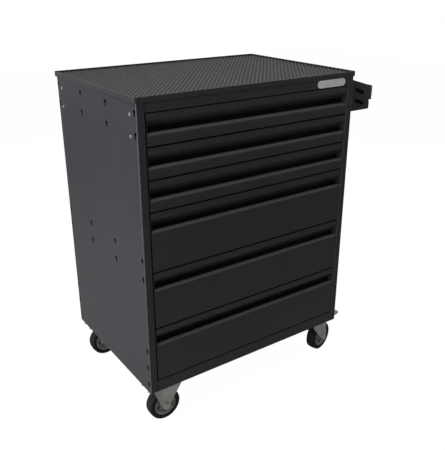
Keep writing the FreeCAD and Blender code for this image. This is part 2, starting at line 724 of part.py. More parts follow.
def drawers():
    """All six drawers from the top down, with their slides."""
    pitches = ["shallow_pitch"] * SHALLOW_DRAWERS + ["deep_pitch"] * DEEP_DRAWERS
    centres = []
    drop = f"{BODY_HEIGHT} - top_rail_height"
    for number, pitch in enumerate(pitches, 1):
        drop = f"{drop} - {pitch}"
        floor = f"({drop} + drawer_gap / 2)"
        bottom = f"{BASE} + {floor}"
        centre = f"({floor} + slide_lift)"
        drawer_front(f"drawer_{number}_front", pitch, bottom)
        drawer_box(f"drawer_{number}_box", pitch, bottom)
        middle_runners(f"drawer_{number}_middle_slides", centre)
        drawer_runners(f"drawer_{number}_runners", centre)
        centres.append(centre)
    cabinet_rails(centres)


# Casters: each is drawn about its plate's centre, top face at zero, wheel axle along y

def caster_place(back, swivel):
    """Place of a caster's plate centre at one of the four corners."""
    side = f"{LEFT} + body_width - swivel_side" if swivel else f"{LEFT} + fixed_side"
    edge = f"{FRONT} + body_depth - caster_edge" if back else f"{FRONT} + caster_edge"
    return side, edge


def caster_body(label, back, swivel, turned=True):
    """Body of a caster piece, with its own origin at the plate's centre."""
    side, edge = caster_place(back, swivel)
    return new_body(label, x=side, y=edge, z=BASE, yaw="caster_yaw" if swivel and turned else None)


def mounting_plate(body):
    """Plate with rounded corners."""
    blank = rectangle("-plate_length / 2", "-plate_width / 2", "plate_length / 2", "plate_width / 2")
    pad(body, "plate", loop_sketch(body, "blank", "XY_Plane", [blank]), "plate_thickness", reverse=True)
    round_corners(body, "plate_corners", "z", blank, "plate_corner_radius")


def plate_holes(body):
    """Four bolt holes of a mounting plate."""
    holes = []
    for i in (-1, 1):
        for j in (-1, 1):
            holes.append((f"{i} * bolt_pitch_long / 2", f"{j} * bolt_pitch_wide / 2",
                          "bolt_diameter + hole_clearance"))
    pocket(body, "bolt_holes", circle_sketch(body, "holes", "XY_Plane", holes), "3 * plate_thickness", middle=True)


def caster_bolts():
    """Sixteen hexagon bolts, heads below the plates, their ends flush with the base sheet."""
    body = new_body("caster_bolts")
    x, y = FIRST_BOLT
    seat = "-plate_thickness"
    shank = circle_sketch(body, "shank", "XY_Plane", [(x, y, "bolt_diameter")], offset=seat)
    stem = pad(body, "stem", shank, "plate_thickness")
    blank = loop_sketch(body, "blank", "XY_Plane", [hexagon(x, y, "bolt_head_width")], offset=seat)
    head = pad(body, "head", blank, "bolt_head_height", reverse=True)
    repeat(body, "bolts", [stem, head], caster_rows())


def cheek_plan(sign):
    """Section of a fork's cheek from above: a web beside the wheel, its ends flared away from the wheel."""
    web = f"{sign} * {FORK_HALF_GAP}"
    inner = [("-fork_top_half", f"{web} + {sign} * fork_flare"), ("-fork_web_half", web), ("fork_web_half", web),
             ("fork_top_half", f"{web} + {sign} * fork_flare")]
    outer = [(x, f"{y} + {sign} * fork_sheet") for x, y in inner]
    return inner + outer[::-1]


def fixed_fork(label, back):
    """Pressed fork of a fixed caster: plate and two flared cheeks that taper to rounded feet at the axle."""
    body = caster_body(label, back, swivel=False)
    mounting_plate(body)
    plans = [cheek_plan(-1), cheek_plan(1)]
    cheeks = loop_sketch(body, "cheeks_plan", "XY_Plane", plans, offset="-plate_thickness")
    pad(body, "cheeks", cheeks, f"{AXLE_DROP} - plate_thickness", reverse=True)
    waste = [("fork_top_half", "-plate_thickness"), ("fork_top_half + 1", "-plate_thickness"),
             ("fork_top_half + 1", f"-{AXLE_DROP} - 1"), ("fork_foot_half", f"-{AXLE_DROP} - 1"),
             ("fork_foot_half", f"-{AXLE_DROP}")]
    mirrored = [(f"-({x})", z) for x, z in waste]
    pocket(body, "taper", loop_sketch(body, "waste", "XZ_Plane", [waste, mirrored]), "2 * plate_width", middle=True)
    for name, sign in (("front", 1), ("back", -1)):
        toe = circle_sketch(body, f"{name}_toe", "XZ_Plane", [("0", f"-{AXLE_DROP}", "2 * fork_foot_half")],
                            offset=f"{sign} * {FORK_HALF_GAP}")
        pad(body, f"{name}_toe_disc", toe, "fork_sheet", reverse=sign < 0)
    axle = ("0", f"-{AXLE_DROP}", "axle_diameter + 2 * fit_gap")
    pocket(body, "axle_holes", circle_sketch(body, "axle", "XZ_Plane", [axle]), "2 * plate_width", middle=True)
    plate_holes(body)


def swivel_plate(label, back):
    """Mounting plate of a swivel caster with its ball race."""
    body = caster_body(label, back, swivel=True, turned=False)
    mounting_plate(body)
    race = circle_sketch(body, "race", "XY_Plane", [("0", "0", "2 * race_radius")], offset="-plate_thickness")
    pad(body, "race_ring", race, "race_height", reverse=True)
    hole = [("0", "0", "king_pin_diameter + 2 * running_gap")]
    pocket(body, "king_pin_hole", circle_sketch(body, "pin", "XY_Plane", hole), "4 * race_radius", middle=True)
    plate_holes(body)


def swivel_fork(label, back):
    """Swivelling fork: crown, king pin and two trailing cheeks."""
    body = caster_body(label, back, swivel=True)
    cheek = [("-crown_front", f"-{CROWN_TOP}"), ("crown_back", f"-{CROWN_TOP}"),
             ("caster_trail + fork_toe", f"-{AXLE_DROP} + 4"), ("caster_trail + fork_toe / 2", f"-{FORK_BOTTOM}"),
             ("caster_trail - fork_toe / 2", f"-{FORK_BOTTOM}"), ("caster_trail - fork_toe", f"-{AXLE_DROP} + 4"),
             ("-crown_front", f"-{CROWN_TOP} - fork_toe")]
    pad(body, "cheeks", loop_sketch(body, "cheek", "XZ_Plane", [cheek]), f"2 * {FORK_HALF}", middle=True)
    gap = rectangle(f"-{FORK_HALF_GAP}", f"-{FORK_BOTTOM} - 1", FORK_HALF_GAP, f"-{CROWN_TOP} - fork_sheet")
    pocket(body, "wheel_gap", loop_sketch(body, "gap", "YZ_Plane", [gap]), "4 * crown_back", middle=True)
    round_corners(body, "cheek_toes", "y", [cheek[2], cheek[3], cheek[4], cheek[5]], "fork_toe / 3")
    pin = circle_sketch(body, "king_pin", "XY_Plane", [("0", "0", "king_pin_diameter")], offset="-fit_gap * 10")
    pad(body, "king_pin_stem", pin, f"{CROWN_TOP} + fork_sheet / 2", reverse=True)
    holes = [("caster_trail", f"-{AXLE_DROP}", "axle_diameter + 2 * fit_gap"),
             (*PEDAL_PIN, "pedal_pin + 2 * running_gap")]
    pocket(body, "pin_holes", circle_sketch(body, "holes", "XZ_Plane", holes), "4 * crown_back", middle=True)


def axle_piece(body, x):
    """Axle bolt with a hexagon at each end, through a fork."""
    shank = circle_sketch(body, "shank", "XZ_Plane", [(x, f"-{AXLE_DROP}", "axle_diameter")])
    features = [pad(body, "stem", shank, f"2 * ({FORK_HALF} + axle_nut_height)", middle=True)]
    for name, sign, reverse in (("head", 1, False), ("nut", -1, True)):
        blank = loop_sketch(body, f"{name}_blank", "XZ_Plane", [hexagon(x, f"-{AXLE_DROP}", "axle_nut_width")],
                            offset=f"{sign} * {FORK_HALF}")
        features.append(pad(body, name, blank, "axle_nut_height", reverse=reverse))
    return features


def fixed_axles():
    """Axle bolts of both fixed casters."""
    body = caster_body("left_caster_axles", False, swivel=False)
    repeat(body, "axles", axle_piece(body, "0"), [("Y_Axis", "body_depth - 2 * caster_edge", 2)])


def wheel_hub(body):
    """Hub with a dished web, turned about the axle."""
    half, web = "wheel_width / 2 - 1", "hub_web_width / 2"
    bore = "axle_diameter / 2 + running_gap"
    right = [(f"{half} + 2", bore), (f"{half} + 2", "hub_boss_radius"), (web, "hub_boss_radius"),
             (web, f"{HUB_RADIUS} - hub_rim"), (half, f"{HUB_RADIUS} - hub_rim"), (half, HUB_RADIUS)]
    profile = [(f"-({x})", y) for x, y in right] + right[::-1]
    revolve(body, "hub", loop_sketch(body, "profile", "YZ_Plane", [profile]))


def wheel_tyre(body):
    """Rubber tyre with bevelled shoulders."""
    side, radius = "wheel_width / 2", "wheel_diameter / 2"
    seat = f"{HUB_RADIUS} + fit_gap"
    right = [(side, seat), (side, f"{radius} - tread_shoulder"), (f"{side} - tread_shoulder * 0.7", radius)]
    profile = [(f"-({x})", y) for x, y in right] + right[::-1]
    revolve(body, "tyre", loop_sketch(body, "profile", "YZ_Plane", [profile]))


def wheel_body(label, back, swivel):
    """Body of a wheel piece with its own origin at the wheel's centre."""
    body = caster_body(label, back, swivel)
    if swivel:
        side, edge = caster_place(back, swivel)
        body.setExpression(".Placement.Base.x", bound(f"{side} + caster_trail * cos(caster_yaw)"))
        body.setExpression(".Placement.Base.y", bound(f"{edge} + caster_trail * sin(caster_yaw)"))
    body.setExpression(".Placement.Base.z", bound("wheel_diameter / 2"))
    return body


def brake_pedal(label, back):
    """Foot brake: a lever over the wheel on its own pin, with a broad pad."""
    body = caster_body(label, back, swivel=True)
    barrel = circle_sketch(body, "barrel", "XZ_Plane", [(*PEDAL_PIN, "pedal_barrel")])
    pad(body, "barrel_stem", barrel, f"2 * ({FORK_HALF_GAP} - crown_gap)", middle=True)
    pin = circle_sketch(body, "pin", "XZ_Plane", [(*PEDAL_PIN, "pedal_pin")])
    pad(body, "pin_stem", pin, f"2 * {FORK_HALF}", middle=True)
    top = f"{PEDAL_PIN[1]} + pedal_thickness / 2"
    arm = rectangle("pedal_pivot", "-pedal_arm_width / 2", "pedal_pad_start + pedal_thickness",
                    "pedal_arm_width / 2")
    foot = rectangle("pedal_pad_start", "-pedal_pad_width / 2", "pedal_reach", "pedal_pad_width / 2")
    for name, outline in (("arm", arm), ("pad", foot)):
        plan = loop_sketch(body, f"{name}_plan", "XY_Plane", [outline], offset=top)
        pad(body, name, plan, "pedal_thickness", reverse=True)
    round_corners(body, "pad_corners", "z", foot, "pedal_corner")


def casters():
    """Fixed casters on the left, braked swivel casters on the right."""
    caster_bolts()
    fixed_axles()
    for end, back in (("front", False), ("back", True)):
        fixed_fork(f"{end}_left_fork", back)
        wheel_hub(wheel_body(f"{end}_left_wheel", back, swivel=False))
        wheel_tyre(wheel_body(f"{end}_left_tyre", back, swivel=False))
        swivel_plate(f"{end}_right_caster_plate", back)
        swivel_fork(f"{end}_right_fork", back)
        wheel_hub(wheel_body(f"{end}_right_wheel", back, swivel=True))
        wheel_tyre(wheel_body(f"{end}_right_tyre", back, swivel=True))
        axle_piece(caster_body(f"{end}_right_axle", back, swivel=True), "caster_trail")
        brake_pedal(f"{end}_right_brake_pedal", back)


def build():
    """Every piece of the cabinet."""
    side_panel("left_side_panel", 1)
    side_panel("right_side_panel", -1)
    back_panel()
    bottom_panel()
    top_front_rail()
    bottom_front_rail()
    top_tray()
    rubber_mat()
    badge_plate()
    rivet_nuts()
    push_handle()
    slot_plugs()
    handle_screws()
    handle_nuts()
    uprights()
    drawers()
    casters()


def check_and_write():
    """Refuse any failed object, then write one file for each piece."""
    doc.recompute()
    for item in doc.Objects:
        if "Invalid" in item.State or "Error" in item.State:
            raise RuntimeError(f"{item.Label} failed: {item.State}")
    for piece in PARTS:
        if piece.Shape.isNull() or not piece.Shape.isValid():
            raise RuntimeError(f"{piece.Label} has no valid shape")
    os.makedirs("parts", exist_ok=True)
    for piece in PARTS:
        piece.Shape.exportStep(f"parts/{piece.Label}.step")
    print(len(PARTS), "pieces written")


build()
check_and_write()
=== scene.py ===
"""Roller tool cabinet: powder-coated steel, ribbed rubber mat and zinc-plated casters in a plain studio."""

import math

import bpy
import numpy as np
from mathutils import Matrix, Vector


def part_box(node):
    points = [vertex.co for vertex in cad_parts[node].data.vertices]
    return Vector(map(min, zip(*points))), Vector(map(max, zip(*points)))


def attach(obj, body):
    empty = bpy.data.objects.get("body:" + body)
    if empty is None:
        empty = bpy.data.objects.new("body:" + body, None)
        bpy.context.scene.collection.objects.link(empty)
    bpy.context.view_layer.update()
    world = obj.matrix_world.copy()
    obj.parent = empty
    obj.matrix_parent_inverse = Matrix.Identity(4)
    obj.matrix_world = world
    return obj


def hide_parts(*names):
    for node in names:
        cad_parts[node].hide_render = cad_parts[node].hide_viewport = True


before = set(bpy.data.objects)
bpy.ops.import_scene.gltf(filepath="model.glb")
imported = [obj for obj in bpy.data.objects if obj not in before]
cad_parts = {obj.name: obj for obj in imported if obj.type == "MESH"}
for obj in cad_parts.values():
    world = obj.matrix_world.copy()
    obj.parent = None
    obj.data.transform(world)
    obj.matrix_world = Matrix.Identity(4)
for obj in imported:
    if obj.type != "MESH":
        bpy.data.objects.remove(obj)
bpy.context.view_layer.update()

# Drawer fronts and columns, in metres: places on them, then how wide each change of painted shade and painted
# highlight is
(FRONT_LEFT, FRONT_FACE, _), (FRONT_RIGHT, _, FRONT_TOP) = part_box("drawer_1_front")
SEAM_PITCH = 0.078
SEAM_ABOVE, SEAM_BELOW = 0.004, 0.0025
LIP_BELOW, LIP_DEPTH = 0.044, 0.010
GUTTER_DEPTH = 0.0225
COLUMN_WIDTH = 0.021
BEND = 0.0028
SKIN = 2e-5
SOFT_EDGE, SEAM_EDGE, BEND_EDGE = 0.0004, 0.0003, 0.2 * BEND
GUTTER_FADE, LIP_FADE, SEAM_FADE, BEND_FADE = 0.0013, 0.00118, 0.00013, 0.00008

# Mat and wheels, in metres and degrees; the ends of the painted shade in the mat's grooves are shares of the
# relief
MAT_PITCH = 0.00985
MAT_ANGLE = 38.9
MAT_RELIEF = 0.0022
MAT_STEP = 0.0018
GROOVE_FLOOR, GROOVE_EDGE = 0.8, 0.15
CASTER_YAW = 13
WHEEL_WIDTH = 0.030
HUB_RADIUS = 0.032
HUB_BORE = 0.0063
HUB_INSET = 0.001
TYRE_FIT = 0.00005

# The photograph's camera, its place and sensor in metres and millimetres, its angles in degrees
CAMERA_AZIMUTH = -34.85
CAMERA_ELEVATION = 22.48
CAMERA_IN_CARCASS = Vector((-0.593, -1.177, 1.018))
FOCAL_PIXELS = 611.6
IMAGE_WIDTH, IMAGE_HEIGHT = 445, 450
SENSOR = 36.0

# Studio: its fill and floor, then each light's name, place, aim, width, height and power
WORLD_FILL = 0.004
FLOOR_HALF, FLOOR_TONE = 6.0, 0.7
FLOOR_GLOW, FLOOR_GLOW_SHARE = 1.09, 0.9
LIGHTS = [("side_light", (-2.5, -0.1, 0.5), (0, 0, 0.3), 1.6, 1.0, 40),
          ("top_light", (0, -0.3, 2.9), (0, 0, 0.8), 2.2, 1.0, 16),
          ("high_left_light", (-1.4, -0.7, 2.45), (-0.1, -0.1, 0.5), 1.0, 0.9, 26),
          ("right_light", (2.4, -0.9, 1.0), (0.2, 0, 0.5), 1.0, 1.6, 4),
          ("back_light", (2.3, 1.6, 0.45), (0, 0, 0.4), 1.8, 0.8, 45)]


def srgb(red, green, blue):
    """Linear colour of an 8-bit screen colour: each channel's share of 255 with the screen curve undone."""
    shares = [channel / 255 for channel in (red, green, blue)]
    return tuple(s / 12.92 if s <= 0.04045 else ((s + 0.055) / 1.055) ** 2.4 for s in shares) + (1.0,)


# Materials

class Finish:
    """A material under construction: its nodes, its shader and short ways to join them."""

    def __init__(self, name):
        self.material = bpy.data.materials.new(name)
        self.material.use_nodes = True
        self.tree = self.material.node_tree
        self.shader = self.tree.nodes["Principled BSDF"]
        self.place = self.tree.nodes.new("ShaderNodeTexCoord").outputs["Object"]

    def add(self, kind, **settings):
        """New node with its inputs or properties set by name."""
        node = self.tree.nodes.new("ShaderNode" + kind)
        for key, setting in settings.items():
            if key in node.inputs:
                node.inputs[key].default_value = setting
            else:
                setattr(node, key, setting)
        return node

    def join(self, output, target):
        """Link from an output to an input."""
        self.tree.links.new(output, target)

    def noise(self, scale, detail=4.0, roughness=0.55):
        """Noise over the piece, scale in cells per metre."""
        node = self.add("TexNoise", Scale=scale, Detail=detail, Roughness=roughness)
        self.join(self.place, node.inputs["Vector"])
        return node.outputs["Fac"]

    def spread(self, factor, low, high, start=0.3, end=0.7):
        """Factor mapped from one span to another and kept inside it. Start and end suit a noise."""
        node = self.add("MapRange")
        for key, setting in (("From Min", start), ("From Max", end), ("To Min", low), ("To Max", high)):
            node.inputs[key].default_value = setting
        self.join(factor, node.inputs["Value"])
        return node.outputs["Result"]

    def rises(self, place, start, width):
        """0 up to a place, then up to 1 over a width."""
        return self.spread(place, 0.0, 1.0, start, start + width)

    def falls(self, place, start, width):
        """1 up to a place, then down to 0 over a width."""
        return self.spread(place, 1.0, 0.0, start, start + width)

    def feed(self, socket, source):
        """A plain value or another node's output into a socket."""
        if isinstance(source, bpy.types.NodeSocket):
            self.join(source, socket)
        else:
            socket.default_value = source

    def blend(self, factor, first, second):
        """Colour between two, by a factor."""
        node = self.add("Mix", data_type="RGBA")
        for socket, source in zip((node.inputs[0], node.inputs[6], node.inputs[7]), (factor, first, second)):
            self.feed(socket, source)
        return node.outputs[2]

    def math(self, operation, first, second=0.0):
        """One sum on two outputs or numbers."""
        node = self.add("Math", operation=operation)
        for socket, term in zip(node.inputs, (first, second)):
            self.feed(socket, term)
        return node.outputs[0]

    def along(self, axis):
        """Place on the piece along an axis, in metres."""
        split = self.add("SeparateXYZ")
        self.join(self.place, split.inputs[0])
        return split.outputs[axis]

    def recess_shade_and_lip_highlight_masks(self):
        """Two shares over a drawer front: painted shade for its recess and the bent edges in its seams, and
        painted highlight for its pull lip.

        The seams repeat down the cabinet, so the height below the first one is taken modulo their pitch.
        """
        depth = self.math("SUBTRACT", self.along("Y"), FRONT_FACE)
        below = self.math("SUBTRACT", FRONT_TOP + SEAM_ABOVE, self.along("Z"))
        below = self.math("FLOORED_MODULO", below, SEAM_PITCH)
        aside = self.math("SUBTRACT", self.along("X"), (FRONT_LEFT + FRONT_RIGHT) / 2)
        half = (FRONT_RIGHT - FRONT_LEFT) / 2
        lip_top = SEAM_ABOVE + LIP_BELOW

        under_lip_top = self.rises(below, lip_top - SOFT_EDGE, SOFT_EDGE)
        behind_lip = self.rises(depth, LIP_DEPTH - SOFT_EDGE, SOFT_EDGE)
        # Painted shade, near black: everything deeper than the gutter, and behind the lip below its top edge
        recess = self.math("MAXIMUM", self.rises(depth, GUTTER_DEPTH, GUTTER_FADE),
                           self.math("MULTIPLY", under_lip_top, behind_lip))
        level = self.falls(below, SEAM_ABOVE + SEAM_BELOW - SEAM_EDGE, SEAM_EDGE)
        upright = self.rises(self.math("ABSOLUTE", aside), half - SOFT_EDGE, SEAM_EDGE)
        # Painted shade in the seams: the bent edges by each seam and at both ends of the front, behind the face
        seam_shade = self.math("MULTIPLY", self.math("MAXIMUM", level, upright), self.rises(depth, SKIN, SEAM_FADE))
        # Painted highlight on the pull lip: its rounded top, from just behind the face back to the lip's depth
        lip = self.math("MULTIPLY", self.rises(depth, SKIN, LIP_FADE),
                        self.falls(depth, LIP_DEPTH - SOFT_EDGE / 2, SOFT_EDGE))
        lip = self.math("MULTIPLY", lip, self.rises(below, lip_top, SOFT_EDGE))
        return self.math("MAXIMUM", recess, seam_shade), lip

    def column_bend_highlight(self):
        """Painted highlight mask: 1 on the rounded bends at both edges of a front column, 0 on the rest."""
        (left, front, _), (right, _, _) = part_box("left_side_panel")[0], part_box("right_side_panel")[1]
        half = (right - left) / 2
        aside = self.math("ABSOLUTE", self.math("SUBTRACT", self.along("X"), (left + right) / 2))
        depth = self.math("SUBTRACT", self.along("Y"), front)
        outer = self.rises(aside, half - BEND, BEND_EDGE)
        inner = self.falls(aside, half - COLUMN_WIDTH + BEND - BEND_EDGE, BEND_EDGE)
        round_the_bend = self.math("MULTIPLY", self.rises(depth, SKIN, BEND_FADE),
                                   self.falls(depth, BEND - BEND_EDGE, BEND_EDGE))
        return self.math("MULTIPLY", self.math("MAXIMUM", outer, inner), round_the_bend)

    def bump(self, height, strength, distance, after=None):
        """Surface relief from a height, stacked on an earlier one."""
        node = self.add("Bump", Strength=strength, Distance=distance)
        self.join(height, node.inputs["Height"])
        if after is not None:
            self.join(after, node.inputs["Normal"])
        return node.outputs["Normal"]

    def set(self, **settings):
        """Uniform values on the shader's own sockets."""
        for key, setting in settings.items():
            self.shader.inputs[key.replace("_", " ")].default_value = setting


def powder_coat(name, dark, light, roughness, specular, shade_and_highlight=None, bends=None):
    """Fine-texture powder coat: orange-peel relief, slightly uneven tone and gloss.

    With colours for painted shade and painted highlight, the coat fades to the first, quite matt, in the drawer
    fronts' recesses and seams, and to the second on the pull lips. With a colour for bends, it turns paler on
    the columns' bends as a painted highlight, where the sheet catches the light.
    """
    coat = Finish(name)
    tone = coat.spread(coat.noise(5.0), 0.0, 1.0)
    colour = coat.blend(tone, dark, light)
    gloss = coat.spread(coat.noise(30.0), roughness - 0.03, roughness + 0.04)
    if shade_and_highlight is not None:
        # Painted shade in the drawer fronts' recesses and seams, and a painted highlight on their pull lips
        shade, lip = coat.recess_shade_and_lip_highlight_masks()
        shaded, lit = shade_and_highlight
        colour = coat.blend(shade, coat.blend(lip, colour, lit), shaded)
        gloss = coat.math("MAXIMUM", gloss, shade)
    if bends is not None:
        # Painted highlight on the rounded bends of the columns
        colour = coat.blend(coat.column_bend_highlight(), colour, bends)
    coat.join(colour, coat.shader.inputs["Base Color"])
    coat.join(gloss, coat.shader.inputs["Roughness"])
    peel = coat.bump(coat.noise(650.0, 2.0), strength=0.18, distance=0.0004)
    grain = coat.bump(coat.noise(2400.0, 1.0), strength=0.15, distance=0.0002, after=peel)
    coat.join(grain, coat.shader.inputs["Normal"])
    coat.set(Specular_IOR_Level=specular)
    return coat.material


def mat_rubber_groove_shade():
    """Grey rubber, matt, a little dusty on the ribs, with painted shade in the grooves."""
    rubber = Finish("mat_rubber_groove_shade")
    dust = rubber.spread(rubber.noise(18.0, 6.0), 0.0, 1.0)
    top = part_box("rubber_mat")[1][2]
    # Painted shade: the rubber darkens towards the bottoms of the grooves
    groove_shade = rubber.falls(rubber.along("Z"), top - GROOVE_FLOOR * MAT_RELIEF,
                          (GROOVE_FLOOR - GROOVE_EDGE) * MAT_RELIEF)
    ribs = rubber.blend(dust, srgb(84, 84, 84), srgb(93, 93, 92))
    rubber.join(rubber.blend(groove_shade, ribs, srgb(57, 57, 57)), rubber.shader.inputs["Base Color"])
    rubber.join(rubber.spread(rubber.noise(60.0), 0.74, 0.86), rubber.shader.inputs["Roughness"])
    grain = rubber.bump(rubber.noise(1500.0, 2.0), strength=0.3, distance=0.0003)
    rubber.join(grain, rubber.shader.inputs["Normal"])
    rubber.set(Specular_IOR_Level=0.1)
    return rubber.material


def tyre_rubber():
    """Dark rubber tread with fine pitting."""
    rubber = Finish("tyre_rubber")
    bloom = rubber.spread(rubber.noise(35.0, 6.0), 0.0, 1.0)
    rubber.join(rubber.blend(bloom, srgb(22, 22, 22), srgb(31, 31, 31)), rubber.shader.inputs["Base Color"])
    rubber.join(rubber.spread(rubber.noise(90.0), 0.6, 0.75), rubber.shader.inputs["Roughness"])
    grain = rubber.bump(rubber.noise(1800.0, 2.0), strength=0.35, distance=0.0003)
    rubber.join(grain, rubber.shader.inputs["Normal"])
    rubber.set(Specular_IOR_Level=0.14)
    return rubber.material


def black_plastic_slot_shade():
    """Moulded black plastic of the slot plugs, near black and almost glossless as painted shade in the handle's
    slots.
    """
    plastic = Finish("black_plastic_slot_shade")
    plastic.join(plastic.spread(plastic.noise(150.0), 0.45, 0.55), plastic.shader.inputs["Roughness"])
    grain = plastic.bump(plastic.noise(1600.0, 2.0), strength=0.3, distance=0.0002)
    plastic.join(grain, plastic.shader.inputs["Normal"])
    # Near-black colour and almost no gloss: painted shade in the handle's slots
    plastic.set(Base_Color=srgb(4, 4, 5), Specular_IOR_Level=0.02)
    return plastic.material


def plated_steel(name, dark, light, roughness, metallic=1.0):
    """Zinc plate: cloudy tone, fine rolling grain."""
    plate = Finish(name)
    cloud = plate.spread(plate.noise(45.0, 5.0), 0.0, 1.0)
    plate.join(plate.blend(cloud, dark, light), plate.shader.inputs["Base Color"])
    plate.join(plate.spread(plate.noise(160.0, 5.0), roughness - 0.07, roughness + 0.09),
               plate.shader.inputs["Roughness"])
    grain = plate.bump(plate.noise(1400.0, 3.0), strength=0.15, distance=0.0002)
    plate.join(grain, plate.shader.inputs["Normal"])
    plate.set(Metallic=metallic)
    return plate.material


def moulded_nylon():
    """Grey moulded nylon of the wheel hubs."""
    nylon = Finish("hub_nylon")
    tone = nylon.spread(nylon.noise(40.0), 0.0, 1.0)
    nylon.join(nylon.blend(tone, srgb(128, 127, 126), srgb(142, 141, 139)), nylon.shader.inputs["Base Color"])
    nylon.join(nylon.spread(nylon.noise(120.0), 0.36, 0.48), nylon.shader.inputs["Roughness"])
    grain = nylon.bump(nylon.noise(1100.0, 2.0), strength=0.2, distance=0.0003)
    nylon.join(grain, nylon.shader.inputs["Normal"])
    return nylon.material


# Mat and wheels, made finer than the CAD's

def mesh_piece(name, vertices, faces, smooth=0):
    """Object from an array of vertices and a list of faces, the first ones smooth and the rest flat."""
    mesh = bpy.data.meshes.new(name)
    mesh.from_pydata(vertices.tolist(), [], faces)
    mesh.polygons.foreach_set("use_smooth", np.arange(len(mesh.polygons)) < smooth)
    piece = bpy.data.objects.new(name, mesh)
    bpy.context.scene.collection.objects.link(piece)
    return piece


def ribbed_mat():
    """Mat whose top is a grid of heights: its level, less a relief that follows a cosine across the ribs.

    The grid's rim drops to the tray's floor, and one flat face closes the bottom.
    """
    low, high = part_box("rubber_mat")
    columns = int((high[0] - low[0]) / MAT_STEP)
    rows = int((high[1] - low[1]) / MAT_STEP)
    x, y = np.meshgrid(np.linspace(low[0], high[0], columns), np.linspace(low[1], high[1], rows))
    angle = math.radians(MAT_ANGLE)
    across = x * math.cos(angle) - y * math.sin(angle)
    rib = 0.5 + 0.5 * np.cos(2 * math.pi * across / MAT_PITCH)
    z = high[2] - MAT_RELIEF * (1 - rib)
    top = np.stack([x, y, z], axis=-1).reshape(-1, 3)
    index = np.arange(rows * columns).reshape(rows, columns)
    faces = np.stack([index[:-1, :-1], index[:-1, 1:], index[1:, 1:], index[1:, :-1]], axis=-1).reshape(-1, 4)
    rim = np.concatenate([index[0, :-1], index[:-1, -1], index[-1, :0:-1], index[:0:-1, 0]])
    foot = top[rim].copy()
    foot[:, 2] = low[2]
    under = np.arange(len(rim)) + len(top)
    next_rim, next_under = np.roll(rim, -1), np.roll(under, -1)
    skirt = np.stack([rim, under, next_under, next_rim], axis=-1)
    mat = mesh_piece("ribbed_mat", np.concatenate([top, foot]),
                     faces.tolist() + skirt.tolist() + [under[::-1].tolist()], smooth=len(faces))
    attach(mat, "cabinet")
    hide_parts("rubber_mat")
    return mat


def turned(points, axis, centre, segments=96):
    """Vertices and quads of a closed outline turned about an axis.

    Each point is a distance along the axis and a radius. A turn of angle t puts it at the centre, plus the
    distance along the axis, plus the radius times cos t along the level direction and sin t upwards.
    """
    distance, radius = (column[None, :, None] for column in np.array(points).T)
    level, up = np.array([axis[1], -axis[0], 0.0]), np.array([0.0, 0.0, 1.0])
    angle = np.linspace(0, 2 * math.pi, segments, endpoint=False)[:, None, None]
    rim = np.cos(angle) * level + np.sin(angle) * up
    vertices = np.array(centre) + distance * np.array(axis) + radius * rim
    index = np.arange(segments * len(points)).reshape(segments, -1)
    onward, outward = np.roll(index, -1, axis=0), np.roll(index, -1, axis=1)
    both = np.roll(onward, -1, axis=1)
    return vertices.reshape(-1, 3), np.stack([index, outward, both, onward], axis=-1).reshape(-1, 4)


def arc(across, radius, middle, start, end, steps):
    """Points on part of an ellipse: middle plus (across sin t, radius cos t), t from start to end degrees."""
    t = np.radians(np.linspace(start, end, steps))
    return np.stack([middle[0] + across * np.sin(t), middle[1] + radius * np.cos(t)], axis=-1)


def tyre_outline(half, seat, radius):
    """Closed outline of a tyre: flat seat, short sidewalls, and a tread rounded from shoulder to shoulder."""
    crown, crown_inset = 0.0012, 0.004
    shoulder, shoulder_height, shoulder_drop = 0.0042, 0.0078, 0.008
    bead_height, bead_inset = 0.003, 0.0016
    right = [*arc(half - crown_inset, crown, (0, radius - crown), 0, 70, 6),
             *arc(shoulder, shoulder_height, (half - shoulder, radius - shoulder_drop), 24, 90, 8),
             (half, seat + bead_height), (half - bead_inset, seat)]
    return [*right, *((-across, height) for across, height in right[:0:-1])]


def hub_outline(half, bore, radius):
    """Closed outline of a hub: rounded rim, a dish on each side down to the web, a boss round the bore."""
    rounding = 0.0012
    rim_lip, dish_edge = (half, radius - 0.004), (half - 0.0015, radius - 0.0052)
    web_top, web_foot = (0.0055, radius - 0.0085), (0.005, 0.0155)
    boss_foot, boss_edge, boss_bore = (half + 0.0008, 0.0125), (half + 0.002, 0.0112), (half + 0.002, bore)
    right = [*arc(rounding, rounding, (half - rounding, radius - rounding), 0, 90, 4),
             rim_lip, dish_edge, web_top, web_foot, boss_foot, boss_edge, boss_bore]
    return [*right, *((-across, height) for across, height in right[::-1])]


def hub_ribs(half, radius, axis, centre, count=6):
    """Radial ribs in both dishes: thin wedges from the boss to the rim, as vertices and quads.

    The rib at turn t points out along cos t of the level direction and sin t of up. A corner lies at the
    centre, plus its reach outwards, plus its height along the axis to either side, plus its spread round the
    turn.
    """
    level, up = np.array([axis[1], -axis[0], 0.0]), np.array([0.0, 0.0, 1.0])
    turn = (2 * np.pi * (np.arange(count) + 0.5) / count)[:, None, None, None]
    out = np.cos(turn) * level + np.sin(turn) * up
    round_the_turn = np.cos(turn) * up - np.sin(turn) * level
    root, edge_taper = 0.004, 0.7
    boss_end, rim_end = (0.012, half - 0.001, 0.0016), (radius - 0.005, half - 0.0035, 0.0012)
    corners = np.array([(reach, height, spread) for reach, top, thick in (boss_end, rim_end)
                        for height, spread in ((root, -thick), (root, thick),
                                               (top, thick * edge_taper), (top, -thick * edge_taper))])
    reach, height, spread = (column[:, None] for column in corners.T)
    side = np.array([-1, 1])[:, None, None]
    vertices = np.array(centre) + reach * out + side * height * np.array(axis) + spread * round_the_turn
    near = np.arange(4)
    onward = (near + 1) % 4
    quads = np.stack([near, onward, onward + 4, near + 4], axis=-1)
    first = len(corners) * np.arange(count * 2).reshape(count, 2, 1, 1)
    faces = first + np.stack([quads, quads[:, ::-1]])
    return vertices.reshape(-1, 3), faces.reshape(-1, 4)


